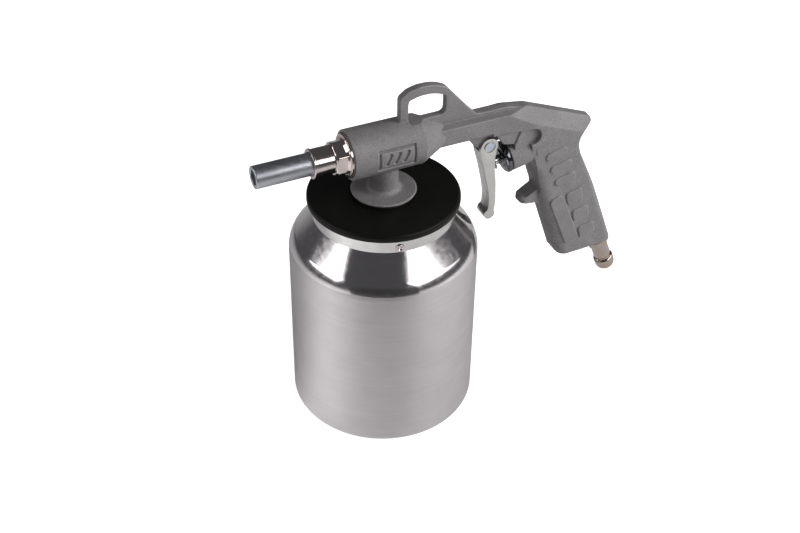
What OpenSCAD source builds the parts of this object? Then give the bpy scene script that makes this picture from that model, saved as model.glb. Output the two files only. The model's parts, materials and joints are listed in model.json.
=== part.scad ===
// Suction-feed blast gun: a cast pistol body with a steel nozzle, standing on
// a one litre spun aluminium cup that screws onto the black lid under it.
// Units are millimetres. The origin is the centre of the cup's flat base,
// +Z is up, the nozzle points to -X and the grip is towards +X.

/* [Cup] */
// Outside radius of the cup
cup_r = 52.5; // [50:0.5:55]
// Thickness of the spun sheet
cup_wall = 1.5; // [1.2:0.1:1.8]
// Height at which the shoulder starts to bend in
shoulder_z = 104; // [100:1:120]
// Radius of the shoulder's bend
shoulder_r = 14; // [11:0.5:15]
// Radius of the bottom edge
base_edge_r = 5; // [3:0.5:8]
// Inside radius of the neck
neck_r = 36; // [35:0.5:36.5]
// Outside radius of the collar around the neck
collar_r = 39.3; // [39:0.1:40.5]

/* [Lid] */
// Radius of the lid's rim
lid_r = 42; // [41:0.5:46]
// Thickness of the lid's top
lid_t = 4.2; // [3.5:0.1:6]
// Depth of the threaded skirt below the lid
skirt_h = 11; // [8:0.5:12]

/* [Barrel] */
// Height of the barrel's axis above the lid's top face
barrel_rise = 28.7; // [26:0.1:34]
// Outside radius of the barrel
barrel_r = 13.8; // [13:0.1:15]
// Radius of the mixing chamber inside the barrel
chamber_r = 6; // [5.4:0.1:6.2]
// Radius of the disc that the gun stands on
disc_r = 18; // [14:0.5:22]

/* [Nozzle] */
// Distance from the cup's axis to the nozzle's tip
tip_x = 73.3; // [60:0.5:95]
// Outside radius of the nozzle tube
tube_r = 6.2; // [6:0.1:6.6]
// Radius of the nozzle's bore
tube_bore_r = 4; // [3:0.1:4.4]

/* [Grip] */
// Half the thickness of the grip
grip_half = 9; // [8.5:0.1:10]
// Half the width of the beam between barrel and grip
beam_half = 7; // [6:0.1:7.5]
// Height of the raised pads on the grip's sides
pad_h = 0.9; // [0.3:0.1:1]

/* [Trigger] */
// Outside width of the folded trigger
trigger_w = 9; // [8.8:0.1:10]
// Thickness of the trigger's sheet
trigger_t = 1.5; // [1.2:0.1:1.7]
// Radius of the trigger's pivot pin
pin_r = 3; // [2.5:0.1:3.1]

/* [Hidden] */
$fn = 96;

cast_grey = [0.55, 0.54, 0.54];
bright_nickel = [0.80, 0.79, 0.76];
spun_aluminium = [0.78, 0.77, 0.76];
seal_black = [0.08, 0.08, 0.08];

fit_gap = 0.05;        // between pieces that stay together
run_gap = 0.08;        // radial gap of a running fit
free_gap = 0.3;        // between pieces that move past each other

// Heights of the cup and the lid
bend_x = cup_r - shoulder_r;
slope_x = bend_x + shoulder_r * cos(45);
slope_z = shoulder_z + shoulder_r * sin(45);
neck_out_r = neck_r + cup_wall;
neck_z = slope_z + slope_x - neck_out_r;
neck_top = neck_z + 8.8;
collar_z0 = neck_z + 0.9;
lid_z = neck_top + 1.9;
lid_top = lid_z + lid_t;
barrel_z = lid_top + barrel_rise;
lock_nut_h = 5;
gasket_t = 1.2;
disc_t = 1.4;
disc_z = lid_top + gasket_t;

// The vent in the neck: its turn about the cup's axis, height and hole
vent_turn = -101.4;
vent_z = collar_z0 + 4.4;
vent_shank_r = 1.5;

// The gun, measured from the barrel's axis above the cup's centre
face_x = -21.5;
cone_x = 19;
cone_end = 33;
beam_top = 6;
beam_bottom = -6.8;
apex_x = 84;
ridge_slope = 22.5;
ridge_half = 2.7;
side_fall = 0.2;       // how far the top falls for each millimetre off the ridge
beam_start = 24;
beam_end = 66;
web_half = 6.4;
loop_half = 2.3;
column_r = 8;
spigot_r = 7.9;
tube_out_r = 5;
tube_in_r = 3.9;
marking_depth = 0.9;
recess_r = 12.2;
recess_depth = 3;
nut_front = -42.2;
hex_front = -30.3;
hex_back = -24;
shank_r = tube_r + 0.2; // the nozzle tube inside its nut
thread_r = 8;
thread_end = -13;
shoulder_x = -9;
jet_x = 11;
air_r = 2.2;
air_end = 88;

// The air valve, on an axis that rises to the rear
valve_x = 75;
valve_z = -26;
valve_tilt = 12;
boss_r = 9;
valve_bore_r = 6;
valve_len = 36;
stem_r = 2.5;
seat_s = 16.5;
disc_s = 19.6;
spring_end = valve_len - 0.1;
head_s = -10;
wire_r = 0.45;
coil_r = 3.8;
coils = 5.5;

// The trigger's pivot
pivot_x = 61.5;
pivot_z = -14.3;
lug_half = trigger_w / 2 - trigger_t - free_gap;

// The air inlet, which leans like the grip
inlet_x = 141.4;
inlet_z = -102.9;
inlet_lean = 21.5;
front_lean = 18.8;
rear_lean = 20.6;

// Points along an arc in a profile
function arc(x, z, r, a0, a1, n = 12) =
    [for (i = [0:n]) [x + r * cos(a0 + (a1 - a0) * i / n), z + r * sin(a0 + (a1 - a0) * i / n)]];

// Places the gun's own frame, on the barrel's axis
module on_barrel() {
    translate([0, 0, barrel_z]) children();
}

// Places the valve's frame: local +Z runs along the valve to the rear
module on_valve() {
    on_barrel() translate([valve_x, 0, valve_z]) rotate([0, 90 - valve_tilt, 0]) children();
}

// Places the inlet's frame: local +Z runs out of the grip
module on_inlet() {
    on_barrel() translate([inlet_x, 0, inlet_z]) rotate([0, 180 - inlet_lean, 0]) children();
}

// A flat piece with this outline in X and Z, centred across the gun
module side_plate(outline, half) {
    translate([0, half, 0]) rotate([90, 0, 0]) linear_extrude(2 * half) polygon(outline);
}

// A round bar or bore along X
module rod_x(x0, x1, r) {
    translate([x0, 0, 0]) rotate([0, 90, 0]) cylinder(h = x1 - x0, r = r);
}

// A round bar or bore across the gun, along Y
module rod_y(y0, y1, r) {
    translate([0, y0, 0]) rotate([-90, 0, 0]) cylinder(h = y1 - y0, r = r);
}

module tube(h, r_out, r_in) {
    difference() {
        cylinder(h = h, r = r_out);
        translate([0, 0, -1]) cylinder(h = h + 2, r = r_in);
    }
}

module hexagon(h, across_flats) {
    cylinder(h = h, r = across_flats / sqrt(3), $fn = 6);
}

module o_ring(r, wire) {
    rotate_extrude() translate([r, 0]) circle(r = wire, $fn = 32);
}

// ---- Cup ----

module cup_body() {
    color(spun_aluminium) difference() {
        rotate_extrude() polygon(concat(
            [[0, 0]],
            arc(cup_r - base_edge_r, base_edge_r, base_edge_r, -90, 0, 8),
            arc(bend_x, shoulder_z, shoulder_r, 0, 45, 12),
            [[neck_out_r, neck_z], [neck_out_r, neck_top], [neck_r, neck_top]],
            [[neck_r, neck_z - cup_wall * tan(22.5)]],
            arc(bend_x, shoulder_z, shoulder_r - cup_wall, 45, 0, 12),
            arc(cup_r - base_edge_r, base_edge_r, base_edge_r - cup_wall, 0, -90, 8),
            [[0, cup_wall]]
        ));
        on_vent() translate([0, 0, -6]) cylinder(h = 12, r = vent_shank_r + fit_gap, $fn = 32);
    }
}

// Places the vent's frame: local +Z runs out through the collar
module on_vent() {
    translate([0, 0, vent_z]) rotate([0, 0, vent_turn])
        translate([collar_r, 0, 0]) rotate([0, 90, 0]) children();
}

module neck_collar() {
    color(bright_nickel) difference() {
        translate([0, 0, collar_z0]) tube(lid_z - free_gap - collar_z0, collar_r, neck_out_r + fit_gap);
        on_vent() translate([0, 0, -6]) cylinder(h = 12, r = vent_shank_r + fit_gap, $fn = 32);
    }
}

module vent_eyelet() {
    head_r = 2.5;
    depth = collar_r - neck_r - 0.2;
    color(bright_nickel) on_vent() difference() {
        union() {
            translate([0, 0, 0.1]) cylinder(h = 0.6, r1 = head_r, r2 = head_r - 0.4, $fn = 48);
            translate([0, 0, -depth]) cylinder(h = depth + 0.4, r = vent_shank_r, $fn = 48);
        }
        translate([0, 0, -depth - 1]) cylinder(h = depth + 3, r = 0.8, $fn = 48);
        cylinder(h = 1, r1 = 0.8, r2 = 1.9, $fn = 48);
    }
}

// ---- Lid and pickup ----

module lid_gasket() {
    color(seal_black) translate([0, 0, neck_top + free_gap])
        tube(lid_z - neck_top - free_gap, neck_out_r - free_gap, neck_r + 0.1);
}

module screw_lid() {
    edge = 1.8;
    skirt_r = neck_r - run_gap;
    color([0.07, 0.07, 0.07]) rotate_extrude() polygon(concat(
        [[spigot_r + fit_gap, lid_top], [lid_r - edge, lid_top]],
        arc(lid_r - edge, lid_top - edge, edge, 90, 0, 8),
        [[lid_r, lid_z + 0.6], [lid_r - 0.6, lid_z], [skirt_r, lid_z], [skirt_r, lid_z - skirt_h]],
        [[skirt_r - 2.7, lid_z - skirt_h], [skirt_r - 2.7, lid_z], [spigot_r + fit_gap, lid_z]]
    ));
}

module lid_lock_nut() {
    color(bright_nickel) translate([0, 0, lid_z - lock_nut_h]) difference() {
        hexagon(lock_nut_h, 24);
        translate([0, 0, -1]) cylinder(h = lock_nut_h + 2, r = spigot_r + fit_gap);
    }
}

module flange_gasket() {
    color(seal_black) translate([0, 0, lid_top]) tube(gasket_t, disc_r - 1, spigot_r + fit_gap);
}

module pickup_tube() {
    foot_z = 6;
    top_z = barrel_z - 10.5;
    color("silver") difference() {
        translate([0, 0, foot_z]) tube(top_z - foot_z, tube_out_r, tube_in_r);
        translate([-10, 0, foot_z]) rotate([0, 30, 0]) translate([-10, -10, -20]) cube([40, 20, 20]);
    }
}

// ---- Gun body ----

loop_outer = concat(
    [[8.3, 0], [8.3, 25.6]],
    arc(11.3, 26, 3, 180, 115, 4),
    arc(22, 7, 25.5, 112, 60, 10),
    [[36.5, 27.4], [49.5, 12], [53, 8.3], [57, 7.7], [72, 7.7], [apex_x + 2, beam_top - 1], [apex_x + 2, 0]]
);
loop_inner = concat(
    [[13, 12.6], [13, 23.3]],
    arc(22.8, 3, 24.2, 112, 63, 8),
    [[34.9, 23.4]],
    arc(31.9, 15.7, 3, 0, -80, 4)
);

module hang_loop() {
    side_plate(loop_outer, loop_half);
}

// The standing disc, its column and the spigot below, as one turned shape
module stand() {
    foot = 3;
    top = disc_z + disc_t - barrel_z;
    bottom = lid_z - lock_nut_h - 2 - barrel_z;
    rotate_extrude() polygon(concat(
        [[0, bottom], [spigot_r, bottom], [spigot_r, top - disc_t], [disc_r - 0.4, top - disc_t]],
        [[disc_r, top - disc_t + 0.5], [disc_r, top - 0.5], [disc_r - 0.5, top]],
        arc(column_r + foot, top + foot, foot, -90, -180, 8),
        [[column_r, -6], [0, -6]]
    ));
}

// The beam: a bar with bevelled lower edges
module beam() {
    bevel = 2.6;
    h = beam_half;
    side_top = beam_top - side_fall * (h - ridge_half);
    translate([beam_start, 0, 0]) rotate([90, 0, 90]) linear_extrude(beam_end - beam_start) polygon([
        [-h, beam_bottom + bevel], [-h + bevel, beam_bottom], [h - bevel, beam_bottom],
        [h, beam_bottom + bevel], [h, side_top], [ridge_half, beam_top], [-ridge_half, beam_top],
        [-h, side_top]
    ]);
}

// Keeps the rear of the gun under two planes that fall away from the ridge
module roof() {
    side_drop = 1.2;
    reach = 12;
    translate([apex_x, 0, beam_top]) rotate([0, ridge_slope, 0]) translate([-60, 0, 0])
        rotate([90, 0, 90]) linear_extrude(130) polygon([
            [-ridge_half, 0], [ridge_half, 0], [ridge_half + reach, -side_drop * reach],
            [ridge_half + reach, -150], [-ridge_half - reach, -150],
            [-ridge_half - reach, -side_drop * reach]
        ]);
}

// Keeps the front of the rear under the beam's own gently sloping top
module beam_roof() {
    reach = 12;
    fall = side_fall * reach;
    translate([beam_end - 10, 0, 0]) rotate([90, 0, 90]) linear_extrude(90) polygon([
        [-ridge_half, beam_top], [ridge_half, beam_top], [ridge_half + reach, beam_top - fall],
        [ridge_half + reach, -80], [-ridge_half - reach, -80], [-ridge_half - reach, beam_top - fall]
    ]);
}

// Plan of the rear: it widens from the beam to the grip
module rear_plan() {
    w = grip_half;
    translate([0, 0, -120]) linear_extrude(150) polygon([
        [60, -beam_half], [66, -beam_half], [86, -w], [150, -w],
        [150, w], [86, w], [66, beam_half], [60, beam_half]
    ]);
}

rear_top_outline = concat(
    [[62, beam_bottom], [62, beam_top], [apex_x, beam_top], [124.6, -10.8]],
    arc(124.1, -12.5, 1.8, 70, -50, 5),
    arc(128.2, -24, 11.7, 142, 190, 6),
    [[118.3, -31.5], [119.9, -34.5], [90.5, -34.5], [86, -20], [84, beam_bottom]]
);
grip_outline = concat(
    [[84, -28], [116.8, -28], [119.9, -34.5], [132.2, -60.5], [145.2, -97.6]],
    arc(142.8, -98.3, 2.4, 10, -70, 4),
    [[131, -101.4], [115, -102]],
    arc(112.6, -98.4, 3.6, -95, -160, 4),
    [[97.5, -67.3], [94.6, -58.9], [94.6, -50], [92.2, -43], [90.5, -34]]
);

// A tall bar with rounded long edges, leaning back like the grip
module lean_bar(x, z, lean, edge_r, front) {
    depth = 80;
    side = front ? 0 : -depth;
    c = front ? edge_r : -edge_r;
    flat = grip_half - edge_r;
    translate([x, 0, z]) rotate([0, -lean, 0]) translate([0, 0, -30]) linear_extrude(150) union() {
        for (y = [-1, 1]) translate([c, y * flat]) circle(r = edge_r, $fn = 64);
        translate([side + c, -grip_half]) square([depth, 2 * grip_half]);
        translate([side, -flat]) square([depth, 2 * flat]);
    }
}

module grip() {
    intersection() {
        side_plate(grip_outline, grip_half);
        lean_bar(109.4, -101, front_lean, 6.8, true);
        lean_bar(146.2, -98, rear_lean, 4, false);
    }
}

module rear_top() {
    intersection() {
        side_plate(rear_top_outline, grip_half + 2);
        roof();
        beam_roof();
        rear_plan();
    }
}

// The thin web below the beam, with the brace cast across it
module pocket_web() {
    side_plate([[64, -6], [94, -6], [94, -24], [77.5, -24], [76, -15], [69, -13.5]], web_half);
    side_plate([[79.4, -6], [82.4, -6], [78.6, -15.5], [75.8, -15.5]], web_half + 1);
}

module pocket() {
    for (y = [web_half, -web_half - 10]) translate([0, y, 0]) {
        translate([86, 0, -11.6]) rod_y(0, 10, 5.2);
        translate([60, 0, -16.8]) cube([26, 10, 10.4]);
    }
}

module trigger_lug() {
    side_plate(concat(
        [[49, beam_bottom + 1], [50, -8.3], [53, -12.8]],
        arc(pivot_x, pivot_z, 4.5, 215, 350, 10),
        [[69.5, -8], [70, beam_bottom + 1]]
    ), lug_half);
}

// The finger rest below the trigger's reach
module finger_rest() {
    half = 4.9;
    intersection() {
        side_plate(concat(
            [[98, -47.5], [94.5, -51], [87, -55.5]],
            arc(85.6, -57.6, 2.2, 115, 250, 8),
            [[88, -60], [94, -60.6], [98, -64]]
        ), half);
        translate([83.4 + half, 0, -80]) linear_extrude(50) union() {
            circle(r = half, $fn = 64);
            translate([0, -half]) square([14, 2 * half]);
        }
    }
}

module valve_boss() {
    translate([valve_x, 0, valve_z]) rotate([0, 90 - valve_tilt, 0]) {
        cylinder(h = 22, r = boss_r);
        translate([0, 0, 14.5]) cylinder(h = 8, r = boss_r + 0.5);
    }
}

module inlet_collar() {
    translate([inlet_x, 0, inlet_z]) rotate([0, -inlet_lean, 0]) cylinder(h = 14, r = 6.8);
}

// A rounded bar in the side view, raised on both sides of the grip
module pad(x, z, len, wide, turn, r) {
    translate([x, 0, z]) rotate([0, -turn, 0]) translate([0, grip_half + pad_h, 0])
        rotate([90, 0, 0]) linear_extrude(2 * (grip_half + pad_h)) union() {
            for (i = [-1, 1], j = [-1, 1])
                translate([i * (len / 2 - r), j * (wide / 2 - r)]) circle(r = r, $fn = 32);
            square([len - 2 * r, wide], center = true);
            square([len, wide - 2 * r], center = true);
        }
}

module grip_pads() {
    for (i = [0:2]) {
        pad(102 + 3.6 * i, -26.6 - 9.4 * i, 13.6, 4.6, 13, 2.2);
        pad(116.6 + 5.3 * i, -59.5 - 13.6 * i, 10, 8, 13, 1.6);
    }
    pad(111.1, -75, 9, 37.5, inlet_lean, 3);
}

// Engraved frame and bars on both sides of the barrel
module barrel_marking() {
    line = 1.4;
    intersection() {
        rotate([0, 90, 0]) translate([0, 0, -20]) tube(40, barrel_r + 5, barrel_r - marking_depth);
        translate([2.2, 20, 0]) rotate([90, 0, 0]) linear_extrude(40) union() {
            difference() {
                square([21.5, 12], center = true);
                square([21.5 - 2 * line, 12 - 2 * line], center = true);
            }
            for (i = [-1:1]) translate([i * 5, 0]) rotate(-25) square([1.8, 7], center = true);
        }
    }
}

module gun_bores() {
    // Nozzle end: recess, thread, mixing chamber, air jet and air passage
    rod_x(face_x - 1, face_x + recess_depth, recess_r);
    rod_x(face_x - 1, shoulder_x, thread_r + fit_gap);
    rod_x(shoulder_x - 1, jet_x, chamber_r);
    rod_x(jet_x - 1, jet_x + 6, 4.45);
    rod_x(jet_x, air_end + air_r, air_r);
    // Suction: the pickup tube's socket and the opening into the chamber
    translate([0, 0, -60]) cylinder(h = 60 - 10.5, r = tube_out_r + fit_gap);
    translate([0, 0, -20]) cylinder(h = 18, r = tube_in_r);
    // Riser from the valve to the beam's passage
    translate([air_end, 0, valve_z]) cylinder(h = -valve_z, r = air_r);
    // Valve chamber
    translate([valve_x, 0, valve_z]) rotate([0, 90 - valve_tilt, 0]) translate([0, 0, -1])
        cylinder(h = valve_len + 1, r = valve_bore_r);
    // Air inlet up through the grip
    translate([inlet_x, 0, inlet_z]) rotate([0, -inlet_lean, 0]) {
        translate([0, 0, -1]) cylinder(h = 11, r = 4.8);
        cylinder(h = 88, r = 3);
    }
    // Trigger pivot
    translate([pivot_x, 0, pivot_z]) rod_y(-10, 10, pin_r + 0.02);
}

module gun_body() {
    color(cast_grey) on_barrel() difference() {
        union() {
            difference() {
                union() {
                    rod_x(face_x, cone_x, barrel_r);
                    translate([cone_x, 0, 0]) rotate([0, 90, 0])
                        cylinder(h = cone_end - cone_x, r1 = barrel_r, r2 = beam_half);
                    hang_loop();
                }
                side_plate(loop_inner, 20);
                barrel_marking();
            }
            stand();
            beam();
            difference() {
                rear_top();
                pocket();
            }
            grip();
            pocket_web();
            trigger_lug();
            finger_rest();
            valve_boss();
            inlet_collar();
            grip_pads();
        }
        gun_bores();
    }
}

// ---- Nozzle and air jet ----

module air_jet() {
    color("gold") on_barrel() difference() {
        union() {
            rod_x(jet_x - 2, jet_x + 5.5, 4.4);
            translate([jet_x - 3, 0, 0]) rotate([0, 90, 0]) hexagon(2, 9.4);
            translate([-3, 0, 0]) rotate([0, 90, 0]) cylinder(h = jet_x, r1 = 2.2, r2 = 4.2);
        }
        rod_x(-5, jet_x + 7, 1.2);
        rod_x(2, jet_x + 7, 2);
    }
}

module jet_washer() {
    color("chocolate") on_barrel() translate([jet_x - 1, 0, 0]) rotate([0, 90, 0]) tube(1, 5.6, 4.45);
}

module nozzle_nut() {
    rim = 1.2;
    color(bright_nickel) on_barrel() difference() {
        union() {
            rod_x(nut_front, nut_front + rim, 8.2);
            rod_x(nut_front + rim, hex_front, 7.7);
            intersection() {
                translate([hex_front, 0, 0]) rotate([0, 90, 0]) hexagon(hex_back - hex_front, 17.4);
                translate([hex_front, 0, 0]) rotate([0, 90, 0]) cylinder(h = 20, r1 = 8.6, r2 = 20);
            }
            rod_x(hex_back - 0.3, hex_back + 0.9, 10.5);
            rod_x(hex_back + 0.9, face_x + recess_depth - 0.2, recess_r - free_gap);
            rod_x(hex_back, thread_end, thread_r);
        }
        rod_x(nut_front - 1, thread_end + 1, shank_r + fit_gap);
    }
}

module nozzle_tube() {
    collar_back = shoulder_x - 1;
    color([0.55, 0.58, 0.62]) on_barrel() difference() {
        union() {
            rod_x(-tip_x, nut_front, tube_r);
            rod_x(nut_front, collar_back, shank_r);
            rod_x(thread_end, collar_back, 7.3);
        }
        rod_x(-tip_x - 1, collar_back + 1, tube_bore_r);
    }
}

module nozzle_seal() {
    color(seal_black) on_barrel() translate([shoulder_x - 1, 0, 0]) rotate([0, 90, 0])
        tube(1, 7.4, tube_bore_r + 0.2);
}

// ---- Trigger ----

// One cheek of the trigger, measured from the pivot
cheek_outline = concat(
    [[-5.9, -0.6], [-5.4, -4], [-2.4, -15], [0.5, -28], [1.6, -35], [1.5, -41], [0.4, -45]],
    [[2.6, -45.8], [4.9, -45], [5.6, -40], [5.7, -35.5], [5.1, -24], [4, -15], [3.8, -8]],
    arc(0, 0, 5.2, -30, 170, 14)
);
// The folded front of the trigger, joining the two cheeks
web_outline = [
    [-5.6, -2.6], [-5.4, -4], [-2.4, -15], [0.5, -28], [1.6, -35], [1.5, -41], [0.4, -45],
    [3, -46], [3.3, -41], [3.3, -35], [2.1, -27.7], [-0.8, -14.7], [-3.8, -4], [-4.1, -2.6]
];

module trigger() {
    half = trigger_w / 2;
    tip_r = 3.3;
    color(bright_nickel) on_barrel() translate([pivot_x, 0, pivot_z]) difference() {
        union() {
            for (y = [-half + trigger_t / 2, half - trigger_t / 2])
                translate([0, y, 0]) side_plate(cheek_outline, trigger_t / 2);
            side_plate(web_outline, half);
            translate([2.3, 0, -46]) rod_y(-half, half, tip_r);
        }
        rod_y(-10, 10, pin_r + run_gap);
        for (s = [-1, 1]) translate([0, s * half, 0]) rotate([s * 90, 0, 0])
            translate([0, 0, -0.6]) cylinder(h = 1, r1 = pin_r + run_gap, r2 = pin_r + 0.9);
    }
}

module trigger_pin() {
    near = trigger_w / 2 + 0.2;
    far = trigger_w / 2 + 2;
    color([0.75, 0.78, 0.82]) on_barrel() translate([pivot_x, 0, pivot_z]) difference() {
        rod_y(-near, far, pin_r);
        difference() {
            rod_y(trigger_w / 2 + free_gap, trigger_w / 2 + free_gap + 0.9, pin_r + 1);
            rod_y(0, 20, pin_r - 0.7);
        }
    }
}

module pin_clip() {
    color("dimgray") on_barrel() translate([pivot_x, trigger_w / 2 + free_gap + 0.05, pivot_z])
        rotate([-90, 0, 0]) difference() {
            tube(0.8, pin_r + 2, pin_r - 0.65);
            translate([0, -1.4, -1]) cube([20, 2.8, 6]);
        }
}

// ---- Air valve ----

module valve_cap() {
    flange_r = 9.2;
    color([0.25, 0.25, 0.27]) on_valve() difference() {
        union() {
            translate([0, 0, -2.6]) cylinder(h = 1.8, r = flange_r);
            translate([0, 0, -3.6]) cylinder(h = 1, r1 = 8, r2 = flange_r);
            translate([0, 0, -4.6]) cylinder(h = 1, r1 = 5.4, r2 = 6);
            translate([0, 0, -1]) cylinder(h = 9, r = valve_bore_r - fit_gap);
        }
        translate([0, 0, -6]) cylinder(h = 20, r = stem_r + run_gap);
        translate([0, 0, 3]) cylinder(h = 20, r = 4.2);
    }
}

module cap_washer() {
    color(seal_black) on_valve() translate([0, 0, -0.8]) tube(0.8, 8.4, valve_bore_r + fit_gap);
}

module stem_o_ring() {
    color(seal_black) on_valve() translate([0, 0, 3.9]) o_ring(stem_r + run_gap + 0.75, 0.75);
}

module valve_stem() {
    head_r = 4.8;
    head_t = 1.6;
    color(bright_nickel) on_valve() union() {
        intersection() {
            translate([0, 0, head_s + 8]) sphere(r = 8);
            translate([0, 0, head_s]) cylinder(h = head_t, r = head_r);
        }
        translate([0, 0, head_s + 1]) cylinder(h = disc_s - head_s, r = stem_r);
        translate([0, 0, disc_s + 2]) cylinder(h = 1.4, r = 4.6);
        translate([0, 0, disc_s]) cylinder(h = 7, r = 1.8);
    }
}

module stem_disc() {
    color(seal_black) on_valve() translate([0, 0, disc_s + 1]) tube(1, 4.6, stem_r + fit_gap);
}

module valve_seat() {
    color("gold") on_valve() translate([0, 0, seat_s]) difference() {
        cylinder(h = disc_s + 0.7 - seat_s, r = valve_bore_r - fit_gap);
        translate([0, 0, -1]) cylinder(h = 10, r = 3.3);
    }
}

// A steel wire coil, one sweep of rings along the helix
module valve_spring() {
    start = disc_s + 3.5 + wire_r;
    len = spring_end - wire_r - start;
    sides = 8;
    steps = 14;
    n = round(coils * steps);
    pts = [for (i = [0:n], j = [0:sides - 1])
        let (a = 360 * i / steps, b = 360 * j / sides, r = coil_r + wire_r * cos(b))
        [r * cos(a), r * sin(a), start + len * i / n + wire_r * sin(b)]];
    walls = [for (i = [0:n - 1], j = [0:sides - 1])
        let (k = (j + 1) % sides)
        [i * sides + j, i * sides + k, (i + 1) * sides + k, (i + 1) * sides + j]];
    ends = [[for (j = [sides - 1:-1:0]) j], [for (j = [0:sides - 1]) n * sides + j]];
    color("lightsteelblue") on_valve() polyhedron(points = pts, faces = concat(walls, ends), convexity = 8);
}

// ---- Air inlet ----

module inlet_plug() {
    body_r = 5.2;
    nose_r = 6;
    color(bright_nickel) on_inlet() difference() {
        union() {
            translate([0, 0, -9]) cylinder(h = 10, r = 4.75);
            translate([0, 0, 0.8]) hexagon(5.2, 11);
            rotate_extrude() polygon(concat(
                [[0, 5], [body_r, 5], [body_r, 15.2], [4.7, 15.8], [4.7, 17], [nose_r - 0.5, 17.4]],
                [[nose_r, 18], [nose_r, 22]],
                arc(nose_r - 4.8, 22, 4.8, 0, 60, 8),
                [[3.1, 27], [0, 27]]
            ));
        }
        translate([0, 0, -10]) cylinder(h = 50, r = 2.4);
    }
}

module inlet_washer() {
    color("chocolate") on_inlet() tube(0.8, 6.2, 4.8);
}

cup_body();
neck_collar();
vent_eyelet();
lid_gasket();
screw_lid();
lid_lock_nut();
flange_gasket();
pickup_tube();
gun_body();
air_jet();
jet_washer();
nozzle_nut();
nozzle_tube();
nozzle_seal();
trigger();
trigger_pin();
pin_clip();
valve_cap();
cap_washer();
valve_stem();
stem_o_ring();
stem_disc();
valve_seat();
valve_spring();
inlet_plug();
inlet_washer();
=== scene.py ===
"""Looks of the suction-feed blast gun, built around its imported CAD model. Lengths are in metres."""

import json
import math

import bmesh
import bpy
from mathutils import Matrix, Vector


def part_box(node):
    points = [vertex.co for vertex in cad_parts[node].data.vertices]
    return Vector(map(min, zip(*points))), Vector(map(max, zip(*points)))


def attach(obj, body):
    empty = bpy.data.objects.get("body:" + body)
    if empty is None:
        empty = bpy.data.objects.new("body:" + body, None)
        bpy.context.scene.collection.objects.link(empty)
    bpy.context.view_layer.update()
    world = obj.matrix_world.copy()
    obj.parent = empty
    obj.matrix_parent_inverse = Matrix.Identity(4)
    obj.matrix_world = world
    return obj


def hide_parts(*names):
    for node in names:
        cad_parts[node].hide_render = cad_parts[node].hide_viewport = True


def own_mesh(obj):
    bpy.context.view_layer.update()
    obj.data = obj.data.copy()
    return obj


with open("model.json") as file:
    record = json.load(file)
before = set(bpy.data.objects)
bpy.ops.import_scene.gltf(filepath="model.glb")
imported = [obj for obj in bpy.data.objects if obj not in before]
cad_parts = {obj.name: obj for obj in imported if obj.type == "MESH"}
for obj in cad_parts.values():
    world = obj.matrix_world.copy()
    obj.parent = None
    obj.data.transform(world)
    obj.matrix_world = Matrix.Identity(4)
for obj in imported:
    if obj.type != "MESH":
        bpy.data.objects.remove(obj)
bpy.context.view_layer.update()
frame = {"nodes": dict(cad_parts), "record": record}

MM = 0.001
ROUND = 192             # segments round a large turned piece
ROUND_SMALL = 96        # segments round a small one
SHARP = math.radians(32)  # edges steeper than this stay crisp

# Sizes that the frame's boxes don't give
CUP_WALL = 1.5 * MM
SHOULDER_Z = 104 * MM
SHOULDER_R = 14 * MM
BASE_EDGE_R = 5 * MM
NECK_IN_R = 36 * MM
THREAD_PITCH = 3 * MM
THREAD_DEPTH = 0.55 * MM
NOZZLE_R = 6.2 * MM
NOZZLE_BORE_R = 4 * MM


# ---- Camera, floor and light ----

def direction(azimuth, elevation):
    """A unit vector: azimuth 0 is towards -Y and 90 towards +X, in degrees."""
    a, e = math.radians(azimuth), math.radians(elevation)
    return Vector((math.sin(a) * math.cos(e), -math.cos(a) * math.cos(e), math.sin(e)))


def facing(place, back, roll=0.0):
    """A matrix at place whose local +Z is back and whose local +X is level, then rolled."""
    side = Vector((0, 0, 1)).cross(back).normalized()
    up = back.cross(side)
    turn = Matrix((side, up, back)).transposed().to_4x4()
    return Matrix.Translation(place) @ turn @ Matrix.Rotation(math.radians(roll), 4, "Z")


def make_camera():
    data = bpy.data.cameras.new("camera")
    data.sensor_width = 36
    data.lens = 63.88
    data.clip_start = 0.01
    camera = bpy.data.objects.new("camera", data)
    camera.matrix_world = facing((-0.25699, -0.57179, 0.58552), direction(-25.07, 38.48), 0.895)
    bpy.context.scene.collection.objects.link(camera)
    bpy.context.scene.camera = camera


def softbox(name, azimuth, elevation, distance, width, height, power, mirrored=True):
    """A rectangular light aimed at the middle of the object. Reflections miss it unless it is mirrored."""
    aim = Vector((0, 0, 0.13))
    data = bpy.data.lights.new(name, "AREA")
    data.shape = "RECTANGLE"
    data.size, data.size_y = width, height
    data.energy = power
    lamp = bpy.data.objects.new(name, data)
    back = direction(azimuth, elevation)
    lamp.matrix_world = facing(aim + back * distance, back)
    lamp.visible_camera = False
    lamp.visible_glossy = mirrored
    bpy.context.scene.collection.objects.link(lamp)


def dark_card(name, azimuth, distance, width, low, high):
    """A black card that only reflections see."""
    back = direction(azimuth, 0)
    side = Vector((0, 0, 1)).cross(back)
    middle = back * distance
    corners = [middle + side * s * width / 2 + Vector((0, 0, z)) for s, z in
               ((-1, low), (1, low), (1, high), (-1, high))]
    mesh = bpy.data.meshes.new(name)
    mesh.from_pydata(corners, [], [(0, 1, 2, 3)])
    card = bpy.data.objects.new(name, mesh)
    bpy.context.scene.collection.objects.link(card)
    black = bpy.data.materials.new(name)
    black.use_nodes = True
    black.node_tree.nodes["Principled BSDF"].inputs["Base Color"].default_value = (0.06, 0.06, 0.06, 1)
    mesh.materials.append(black)
    card.visible_camera = False
    card.visible_diffuse = False
    card.visible_shadow = False


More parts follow.
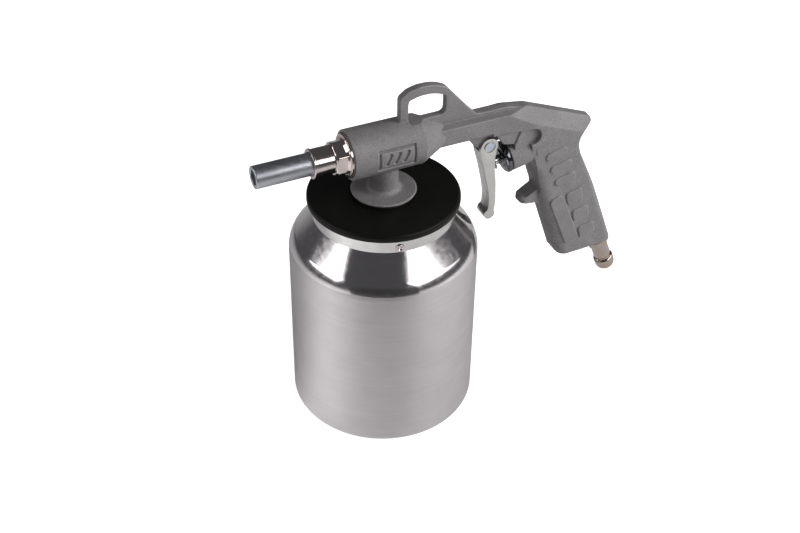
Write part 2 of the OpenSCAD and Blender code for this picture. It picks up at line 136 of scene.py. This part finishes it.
def make_floor():
    """Paper that is white to the camera. To reflections it shows a dimmer painted glow, strongest on the
    left, which also lights the object.
    """
    half = 4.0
    mesh = bpy.data.meshes.new("floor")
    corners = [(-half, -half, 0), (half, -half, 0), (half, half, 0), (-half, half, 0)]
    mesh.from_pydata(corners, [], [(0, 1, 2, 3)])
    floor = bpy.data.objects.new("floor", mesh)
    bpy.context.scene.collection.objects.link(floor)
    paper = Material("floor_paper", roughness=0.9, specular_ior_level=0.0, emission_color=(1, 1, 1, 1))
    azimuth = paper.math("ARCTAN2", paper.axis(0), paper.math("MULTIPLY", paper.axis(1), -1.0))
    # Painted light: the floor's glow to reflections and to the object changes with azimuth and is brightest
    # on the left.
    painted_glow_levels = ((-160, 0.12), (-122, 0.24), (-85, 0.70), (-60, 0.56), (-38, 0.36), (-15, 0.26), (12, 0.16))
    stops = [((degrees + 180) / 360, (level, level, level)) for degrees, level in painted_glow_levels]
    painted_floor_glow = paper.tint(paper.spread(azimuth, 0, 1, -math.pi, math.pi), stops)
    seen = paper.node("LightPath").outputs["Is Camera Ray"]
    strength = paper.node("Mix", seen, data_type="FLOAT")
    paper.put(strength.inputs[2], painted_floor_glow)
    strength.inputs[3].default_value = 0.85
    paper.put(paper.shader.inputs["Emission Strength"], strength.outputs[0])
    mesh.materials.append(paper.finish(paper.spread(seen, 0.5, 0.86, 0, 1)))


def make_world():
    """Dark above for reflections, pale where the camera looks past the floor."""
    world = bpy.data.worlds.new("studio")
    world.use_nodes = True
    tree = world.node_tree
    tree.nodes.clear()
    out = tree.nodes.new("ShaderNodeOutputWorld")
    mix = tree.nodes.new("ShaderNodeMixShader")
    dark = tree.nodes.new("ShaderNodeBackground")
    pale = tree.nodes.new("ShaderNodeBackground")
    path = tree.nodes.new("ShaderNodeLightPath")
    dark.inputs["Color"].default_value = (0.075, 0.075, 0.08, 1)
    pale.inputs["Color"].default_value = (0.92, 0.92, 0.92, 1)
    tree.links.new(path.outputs["Is Camera Ray"], mix.inputs["Fac"])
    tree.links.new(dark.outputs[0], mix.inputs[1])
    tree.links.new(pale.outputs[0], mix.inputs[2])
    tree.links.new(mix.outputs[0], out.inputs["Surface"])
    bpy.context.scene.world = world
    bpy.context.scene.view_settings.view_transform = "Standard"


# ---- Materials ----

class Material:
    """A Principled material whose textures are laid in the piece's own space, in metres."""

    def __init__(self, name, **values):
        self.made = bpy.data.materials.new(name)
        self.made.use_nodes = True
        self.nodes = self.made.node_tree.nodes
        self.links = self.made.node_tree.links
        self.shader = self.nodes["Principled BSDF"]
        for socket, value in values.items():
            self.shader.inputs[socket.replace("_", " ").title().replace("Ior", "IOR")].default_value = value
        self.place = self.nodes.new("ShaderNodeTexCoord").outputs["Object"]

    def node(self, kind, *sources, **settings):
        made = self.nodes.new("ShaderNode" + kind)
        for key, value in settings.items():
            setattr(made, key, value)
        for i, source in enumerate(sources):
            self.put(made.inputs[i], source)
        return made

    def put(self, socket, source):
        if isinstance(source, bpy.types.NodeSocket):
            self.links.new(source, socket)
        elif source is not None:
            socket.default_value = source

    def math(self, operation, a, b=None):
        return self.node("Math", a, b, operation=operation).outputs[0]

    def axis(self, which):
        return self.node("SeparateXYZ", self.place).outputs[which]

    def noise(self, size, detail=3.0, stretch=(1, 1, 1)):
        """Noise with grains of about this size, drawn out along an axis where stretch is above 1."""
        scale = [1 / (size * s) for s in stretch]
        place = self.node("Mapping", self.place)
        place.inputs["Scale"].default_value = scale
        made = self.node("TexNoise", place.outputs[0])
        made.inputs["Scale"].default_value = 1
        made.inputs["Detail"].default_value = detail
        return made.outputs["Fac"]

    def spread(self, source, low, high, start=0.3, end=0.7):
        """source from start to end becomes low to high."""
        made = self.node("MapRange", source)
        for socket, value in zip(("From Min", "From Max", "To Min", "To Max"), (start, end, low, high)):
            made.inputs[socket].default_value = value
        return made.outputs[0]

    def tint(self, source, stops):
        """source picks a colour between the (place, colour) stops."""
        made = self.node("ValToRGB", source)
        ramp = made.color_ramp
        while len(ramp.elements) < len(stops):
            ramp.elements.new(0.5)
        for element, (place, colour) in zip(ramp.elements, stops):
            element.position = place
            element.color = (*colour, 1)
        return made.outputs[0]

    def shade(self, colour, factor):
        """colour times a grey factor."""
        return self.node("VectorMath", colour, factor, operation="MULTIPLY").outputs[0]

    def bump(self, height, depth, before=None):
        made = self.nodes.new("ShaderNodeBump")
        made.inputs["Distance"].default_value = depth
        self.put(made.inputs["Height"], height)
        self.put(made.inputs["Normal"], before)
        return made.outputs[0]

    def finish(self, colour=None, roughness=None, normal=None):
        self.put(self.shader.inputs["Base Color"], colour)
        self.put(self.shader.inputs["Roughness"], roughness)
        self.put(self.shader.inputs["Normal"], normal)
        return self.made


def metal(name, colour, roughness, lines=None, line_depth=2e-6, wear=0.12, spots=0.0):
    """Plated or machined metal: cloudy tone, smudged gloss, and fine tool lines drawn out along an axis."""
    m = Material(name, metallic=1.0)
    cloud = m.noise(6 * MM, 4)
    smudge = m.noise(2.2 * MM, 5)
    deep = [c * (1 - wear) for c in colour]
    tone = m.tint(cloud, [(0.3, deep), (0.7, colour)])
    gloss = m.spread(smudge, roughness * 0.8, roughness * 1.3)
    normal = m.bump(m.noise(3 * MM, 2), 6e-6)
    if lines:
        tool = m.noise(0.16 * MM, 3, lines)
        normal = m.bump(tool, line_depth, normal)
        tone = m.shade(tone, m.spread(tool, 0.93, 1.0))
    if spots:
        speck = m.node("TexVoronoi", m.place, feature="F1")
        speck.inputs["Scale"].default_value = 1 / (4.5 * MM)
        tone = m.shade(tone, m.spread(speck.outputs["Distance"], 1 - spots, 1.0, 0.05, 0.11))
    return m.finish(tone, gloss, normal)


def cast_metal():
    """Sand-blasted zinc: a dull pebbled skin with a parting line, painted shade darkening its corners and
    painted highlight with wear paling its edges.
    """
    m = Material("cast_body", metallic=0.45, specular_ior_level=0.35)
    grain = m.noise(0.55 * MM, 3)
    fine = m.noise(0.2 * MM, 2)
    tone = m.tint(m.noise(9 * MM, 4), [(0.3, (0.245, 0.236, 0.237)), (0.7, (0.285, 0.274, 0.275))])
    tone = m.shade(tone, m.spread(grain, 0.72, 1.2, 0.3, 0.7))
    corner_shade_edge_sheen = m.node("NewGeometry").outputs["Pointiness"]
    # Painted shade: darker where the surface folds inwards, in corners and creases.
    tone = m.shade(tone, m.spread(corner_shade_edge_sheen, 0.55, 1.0, 0.44, 0.495))
    # Painted highlight, partly wear: paler on outward edges.
    tone = m.shade(tone, m.spread(corner_shade_edge_sheen, 1.0, 1.3, 0.51, 0.56))
    ridge = m.spread(m.math("ABSOLUTE", m.axis(1)), 1.0, 0.0, 0.0001, 0.0003)
    normal = m.bump(grain, 0.17 * MM)
    normal = m.bump(fine, 0.05 * MM, normal)
    normal = m.bump(ridge, 0.05 * MM, normal)
    return m.finish(tone, m.spread(grain, 0.52, 0.68), normal)


def spun_aluminium():
    """The cup: a polished shoulder above a satin wall, with fine lines from the spinning tool all round."""
    m = Material("spun_cup", metallic=1.0, anisotropic=0.8, anisotropic_rotation=0.25)
    m.put(m.shader.inputs["Tangent"], m.node("Tangent", direction_type="RADIAL", axis="Z").outputs[0])
    height = m.axis(2)
    lines = m.noise(0.35 * MM, 4, (60, 60, 1))
    broad = m.noise(1.4 * MM, 3, (40, 40, 1))
    cloud = m.noise(14 * MM, 4)
    satin = m.spread(height, 1.0, 0.0, SHOULDER_Z + 2.6 * MM, SHOULDER_Z + 3.4 * MM)
    tone = m.tint(cloud, [(0.3, (0.715, 0.68, 0.693)), (0.7, (0.755, 0.722, 0.733))])
    tone = m.shade(tone, m.spread(broad, 0.95, 1.0))
    gloss = m.node("Mix", satin, data_type="FLOAT")
    m.put(gloss.inputs[2], m.spread(m.noise(3 * MM, 5), 0.12, 0.19))
    m.put(gloss.inputs[3], m.spread(lines, 0.42, 0.52))
    normal = m.bump(m.math("MULTIPLY", lines, satin), 5e-6)
    normal = m.bump(broad, 2e-6, normal)
    normal = m.bump(m.noise(15 * MM, 1), 70e-6, normal)
    return m.finish(tone, gloss.outputs[0], normal)


def moulded_black():
    """The lid's phenolic moulding: near black, faintly grained, with handling haze."""
    m = Material("black_lid", specular_ior_level=0.2)
    grain = m.noise(0.5 * MM, 3)
    haze = m.noise(11 * MM, 5)
    tone = m.tint(haze, [(0.3, (0.0035, 0.0037, 0.0026)), (0.72, (0.006, 0.006, 0.0045))])
    return m.finish(tone, m.spread(haze, 0.36, 0.5), m.bump(grain, 0.02 * MM))


def rubber():
    m = Material("black_rubber", specular_ior_level=0.3)
    grain = m.noise(0.3 * MM, 4)
    tone = m.tint(grain, [(0.3, (0.012, 0.012, 0.012)), (0.7, (0.03, 0.03, 0.029))])
    return m.finish(tone, m.spread(grain, 0.6, 0.8), m.bump(grain, 0.04 * MM))


def pressed_fibre():
    m = Material("fibre", specular_ior_level=0.2)
    strands = m.noise(0.25 * MM, 4, (4, 1, 1))
    tone = m.tint(strands, [(0.3, (0.16, 0.05, 0.025)), (0.7, (0.33, 0.12, 0.06))])
    return m.finish(tone, m.spread(strands, 0.7, 0.9), m.bump(strands, 0.04 * MM))


def make_materials():
    along_x, around_z = (50, 1, 1), (40, 40, 1)
    return {
        "cast_body": cast_metal(),
        "spun_cup": spun_aluminium(),
        "black_lid": moulded_black(),
        "black_rubber": rubber(),
        "fibre": pressed_fibre(),
        "neck_aluminium": metal("neck_aluminium", (0.80, 0.78, 0.775), 0.20, around_z, 5e-6),
        "nickel_plate": metal("nickel_plate", (0.74, 0.66, 0.63), 0.14),
        "trigger_nickel": metal("trigger_nickel", (0.68, 0.67, 0.64), 0.2),
        "pin_zinc": metal("pin_zinc", (0.70, 0.76, 0.84), 0.38),
        "nozzle_steel": metal("nozzle_steel", (0.56, 0.58, 0.62), 0.38, along_x, 2e-6, 0.1, 0.25),
        "dark_chrome": metal("dark_chrome", (0.16, 0.165, 0.175), 0.09),
        "inlet_nickel": metal("inlet_nickel", (0.55, 0.46, 0.40), 0.16),
        "brass": metal("brass", (0.72, 0.50, 0.22), 0.24, (1, 10, 10)),
        "spring_steel": metal("spring_steel", (0.55, 0.57, 0.60), 0.25),
    }


# ---- Shapes ----

def rounded(corners):
    """A closed outline of (radius, height) points from corners of (radius, height, rounding)."""
    points = []
    count = len(corners)
    for i, corner in enumerate(corners):
        here = Vector(corner[:2])
        rounding = corner[2] if len(corner) > 2 else 0
        if rounding == 0:
            points.append(tuple(here))
            continue
        before = (Vector(corners[i - 1][:2]) - here).normalized()
        after = (Vector(corners[(i + 1) % count][:2]) - here).normalized()
        half = before.angle(after) / 2
        reach = rounding / math.tan(half)
        centre = here + (before + after).normalized() * (rounding / math.sin(half))
        start, end = here + before * reach - centre, here + after * reach - centre
        turn = start.angle_signed(end)
        steps = max(3, math.ceil(abs(turn) / math.radians(9)))
        for k in range(steps + 1):
            spin = Matrix.Rotation(-turn * k / steps, 2)
            points.append(tuple(centre + spin @ start))
    return points


def arc(radius, height, bend, start, end, steps):
    """Points along an arc about (radius, height), in degrees."""
    angles = [math.radians(start + (end - start) * i / steps) for i in range(steps + 1)]
    return [(radius + bend * math.cos(a), height + bend * math.sin(a)) for a in angles]


def evenly(start, end, step):
    """Points from start to end, no further apart than step."""
    a, b = Vector(start), Vector(end)
    count = max(1, math.ceil((b - a).length / step))
    return [tuple(a.lerp(b, i / count)) for i in range(count + 1)]


def settle(bm, name, place=None):
    """Turns a bmesh into an object with smooth faces and crisp corners."""
    bmesh.ops.recalc_face_normals(bm, faces=bm.faces)
    for face in bm.faces:
        face.smooth = True
    for edge in bm.edges:
        edge.smooth = edge.calc_face_angle(0) < SHARP
    if place:
        bm.transform(place)
    mesh = bpy.data.meshes.new(name)
    bm.to_mesh(mesh)
    bm.free()
    made = bpy.data.objects.new(name, mesh)
    bpy.context.scene.collection.objects.link(made)
    return made


def lathe(name, outline, place=None, steps=ROUND_SMALL, shape=None):
    """Turns a closed (radius, height) outline about local Z. shape(r, z, angle) may move a radius."""
    bm = bmesh.new()
    rings = []
    for r, z in outline:
        if r < 1e-7:
            rings.append([bm.verts.new((0, 0, z))])
            continue
        ring = []
        for i in range(steps):
            a = 2 * math.pi * i / steps
            turned = shape(r, z, a) if shape else r
            ring.append(bm.verts.new((turned * math.cos(a), turned * math.sin(a), z)))
        rings.append(ring)
    for low, high in zip(rings, rings[1:] + rings[:1]):
        if len(low) == 1 and len(high) == 1:
            continue
        for i in range(steps):
            k = (i + 1) % steps
            corners = [low[i % len(low)], low[k % len(low)], high[k % len(high)], high[i % len(high)]]
            bm.faces.new(list(dict.fromkeys(corners)))
    return settle(bm, name, place)


def thread(radius, low, high, outward):
    """A shape for lathe: a helical groove cut into the wall at radius, from low to high."""
    def moved(r, z, angle):
        if abs(r - radius) > 0.02 * MM or not low <= z <= high:
            return r
        wave = 0.5 - 0.5 * math.cos(2 * math.pi * (z / THREAD_PITCH - angle / (2 * math.pi)))
        fade = min(1.0, (z - low) / MM, (high - z) / MM)
        return r + outward * THREAD_DEPTH * wave * fade
    return moved


def copied(node):
    """The CAD node's mesh, sewn together."""
    bm = bmesh.new()
    bm.from_mesh(frame["nodes"][node].data)
    bmesh.ops.remove_doubles(bm, verts=bm.verts, dist=1e-6)
    return bm


def softened(name, node, width):
    """A copy of a CAD node with flat areas as single faces and its sharp edges rounded over."""
    bm = copied(node)
    bmesh.ops.dissolve_limit(bm, angle_limit=math.radians(0.3), verts=bm.verts, edges=bm.edges)
    sharp = [e for e in bm.edges if e.calc_face_angle(0) > SHARP]
    bmesh.ops.bevel(bm, geom=sharp, offset=width, segments=3, profile=0.5, affect="EDGES",
                    clamp_overlap=True, offset_type="OFFSET")
    bmesh.ops.triangulate(bm, faces=[f for f in bm.faces if len(f.verts) > 4])
    return settle(bm, name)


def cast_over(name, node, voxel, passes):
    """A copy of a CAD node with every edge and corner rounded as a casting's are."""
    made = settle(copied(node), name)
    remesh = made.modifiers.new("remesh", "REMESH")
    remesh.mode = "VOXEL"
    remesh.voxel_size = voxel
    smooth = made.modifiers.new("smooth", "SMOOTH")
    smooth.factor = 0.5
    smooth.iterations = passes
    bpy.context.view_layer.update()
    worked = made.evaluated_get(bpy.context.evaluated_depsgraph_get())
    mesh = bpy.data.meshes.new_from_object(worked)
    made.modifiers.clear()
    made.data = mesh
    mesh.shade_smooth()
    return made


# ---- Pieces ----

materials = {}


def place_piece(piece, node, slot):
    """Gives a new piece its material, and lets it ride and stand for the CAD node."""
    piece.data.materials.clear()
    piece.data.materials.append(materials[slot])
    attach(piece, body_of(node))
    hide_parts(node)


def body_of(node):
    groups = frame["record"]["behaviour"]["bodies"]
    return next(body for body, members in groups.items() if node in members)


def make_cup():
    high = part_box("cup_body")[1]
    r, top = high.x, high.z
    bend = r - SHOULDER_R
    neck_out = NECK_IN_R + CUP_WALL
    slope_r = bend + SHOULDER_R * math.cos(math.pi / 4)
    slope_z = SHOULDER_Z + SHOULDER_R * math.sin(math.pi / 4)
    neck_z = slope_z + slope_r - neck_out
    inner_neck = neck_z - CUP_WALL * math.tan(math.pi / 8)
    thread_low = inner_neck + MM
    outline = (
        [(0, 0.6 * MM), (r - 9 * MM, 0.6 * MM), (r - 7.6 * MM, 0)]
        + arc(r - BASE_EDGE_R, BASE_EDGE_R, BASE_EDGE_R, -90, 0, 16)
        + evenly((r, BASE_EDGE_R + MM), (r, SHOULDER_Z - MM), 8 * MM)
        + arc(bend, SHOULDER_Z, SHOULDER_R, 0, 45, 28)
        + rounded([(neck_out, neck_z, 0.6 * MM), (neck_out, top, 0.4 * MM), (NECK_IN_R, top, 0.4 * MM)])[:-1]
        + evenly((NECK_IN_R, top - 0.5 * MM), (NECK_IN_R, thread_low), 0.2 * MM)
        + [(NECK_IN_R, inner_neck)]
        + arc(bend, SHOULDER_Z, SHOULDER_R - CUP_WALL, 45, 0, 16)
        + arc(r - BASE_EDGE_R, BASE_EDGE_R, BASE_EDGE_R - CUP_WALL, 0, -90, 10)
        + [(0, CUP_WALL)]
    )
    cup = lathe("spun_cup", outline, None, ROUND, thread(NECK_IN_R, thread_low, top - 0.5 * MM, 1))
    place_piece(cup, "cup_body", "spun_cup")


def make_collar():
    low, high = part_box("neck_collar")
    inner = NECK_IN_R + CUP_WALL + 0.05 * MM
    edge = 0.35 * MM
    outline = rounded([(inner, low.z, 0), (high.x, low.z, edge), (high.x, high.z, edge), (inner, high.z, 0)])
    place_piece(lathe("neck_band", outline, None, ROUND), "neck_collar", "neck_aluminium")


def make_lid():
    low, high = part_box("screw_lid")
    rim = high.x
    hole = 7.95 * MM
    skirt = NECK_IN_R - 0.08 * MM
    under = high.z - 4.2 * MM
    wall = skirt - 2.7 * MM
    outline = (
        rounded([
            (hole, under, 0), (hole, high.z, 0.3 * MM), (rim, high.z, 1.8 * MM), (rim, under, 0.9 * MM),
            (skirt, under, 0)])
        + evenly((skirt, under - 0.2 * MM), (skirt, low.z + 0.8 * MM), 0.2 * MM)
        + [(skirt, low.z + 0.5 * MM), (skirt - 0.5 * MM, low.z), (wall, low.z), (wall, under)]
    )
    shape = thread(skirt, low.z + MM, under - MM, -1)
    place_piece(lathe("moulded_lid", outline, None, ROUND, shape), "screw_lid", "black_lid")


def along_barrel(start, height):
    """A matrix whose local +Z runs back along the barrel from x = start."""
    return Matrix.Translation((start, 0, height)) @ Matrix.Rotation(math.pi / 2, 4, "Y")


def make_nozzle():
    """The steel tube, turned about the barrel's axis, with its tip at local height 0."""
    low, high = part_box("nozzle_tube")
    centre = (low.z + high.z) / 2
    collar = high.z - centre
    length = high.x - low.x
    collar_at = length - 3 * MM
    outline = rounded([
        (NOZZLE_BORE_R, 0, 0.35 * MM), (NOZZLE_R, 0, 0.45 * MM), (NOZZLE_R, collar_at, 0),
        (collar, collar_at, 0.2 * MM), (collar, length, 0.2 * MM), (NOZZLE_BORE_R, length, 0.2 * MM)])
    tube = lathe("steel_nozzle", outline, along_barrel(low.x, centre))
    place_piece(tube, "nozzle_tube", "nozzle_steel")


def make_nut():
    """The turned nut that holds the nozzle: a rimmed collar, a chamfered hexagon and its flange."""
    low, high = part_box("nozzle_nut")
    centre = (low.z + high.z) / 2
    length = high.x - low.x
    bore = NOZZLE_R + 0.25 * MM
    sleeve, rim, shank = 7.7 * MM, 8.2 * MM, 8 * MM
    flat = 8.7 * MM             # half of the hexagon's width across its flats
    tip = 9.95 * MM             # its slightly rounded corners
    face, back = 11.9 * MM, 17.9 * MM
    chamfer_back = face + 1.35 * MM
    ring, ring_end = 10.5 * MM, 23.5 * MM
    step = back + 1.2 * MM
    flange = high.z - centre

    def hexagon(r, z, angle):
        if not face < z < back or r < flat:
            return r
        turn = (angle % math.radians(60)) - math.radians(30)
        return min(r, flat / math.cos(turn))

    outline = (
        rounded([
            (bore, 0, 0.25 * MM), (rim, 0, 0.35 * MM), (rim, 1.2 * MM, 0.15 * MM),
            (sleeve, 1.25 * MM, 0), (sleeve, face, 0), (8.6 * MM, face, 0)])
        + evenly((8.65 * MM, face + 0.05 * MM), (tip, chamfer_back), 0.1 * MM)
        + evenly((tip, face + 1.5 * MM), (tip, back - 0.05 * MM), MM)
        + rounded([
            (ring, back, 0.25 * MM), (ring, step, 0), (flange, step + 0.05 * MM, 0.3 * MM),
            (flange, ring_end, 0.2 * MM), (shank, ring_end, 0), (shank, length, 0.5 * MM), (bore, length, 0)])
    )
    nut = lathe("hex_nozzle_nut", outline, along_barrel(low.x, centre), ROUND, hexagon)
    place_piece(nut, "nozzle_nut", "nickel_plate")


def make_soft_copies():
    """Small machined and pressed pieces keep their CAD shape, with their edges broken."""
    for name, node, slot, width in (
        ("pressed_trigger", "trigger", "trigger_nickel", 0.30 * MM),
        ("pivot_pin", "trigger_pin", "pin_zinc", 0.25 * MM),
        ("spring_clip", "pin_clip", "spring_steel", 0.12 * MM),
        ("valve_cover", "valve_cap", "dark_chrome", 0.25 * MM),
        ("plunger_stem", "valve_stem", "trigger_nickel", 0.20 * MM),
        ("hose_nipple", "inlet_plug", "inlet_nickel", 0.22 * MM),
        ("vent_rivet", "vent_eyelet", "nickel_plate", 0.12 * MM),
        ("lock_nut", "lid_lock_nut", "nickel_plate", 0.35 * MM),
        ("suction_tube", "pickup_tube", "nozzle_steel", 0.12 * MM),
        ("brass_jet", "air_jet", "brass", 0.10 * MM),
    ):
        place_piece(softened(name, node, width), node, slot)


def make_spring():
    """The coil spring, copied from the CAD model onto a mesh of its own."""
    spring = settle(copied("valve_spring"), "coil_spring")
    place_piece(spring, "valve_spring", "spring_steel")
    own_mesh(spring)


def paint_kept_nodes():
    """CAD nodes that stay as they are take the look of the slot that the record gives them."""
    for node, slot in (
        ("lid_gasket", "black_rubber"), ("flange_gasket", "black_rubber"), ("nozzle_seal", "black_rubber"),
        ("stem_o_ring", "black_rubber"), ("stem_disc", "black_rubber"), ("jet_washer", "fibre"),
        ("cap_washer", "black_rubber"), ("inlet_washer", "fibre"), ("valve_seat", "brass"),
    ):
        for each in frame["nodes"][node].material_slots:
            each.link = "OBJECT"
            each.material = materials[slot]


make_camera()
make_world()
make_floor()
# Lights: azimuth, elevation, distance, width, height and power
softbox("left_softbox", -100, 31, 0.95, 0.72, 0.30, 2.6)
softbox("right_softbox", 48, 36, 0.95, 1.15, 0.42, 5.2)
softbox("side_fill", 57, 21, 1.2, 0.5, 0.45, 11.5, mirrored=False)
dark_card("front_card", -22, 0.42, 0.62, 0.0, 0.3)
materials.update(make_materials())
make_cup()
make_collar()
make_lid()
make_nozzle()
make_nut()
place_piece(cast_over("cast_gun_body", "gun_body", 0.35 * MM, 3), "gun_body", "cast_body")
make_soft_copies()
make_spring()
paint_kept_nodes()
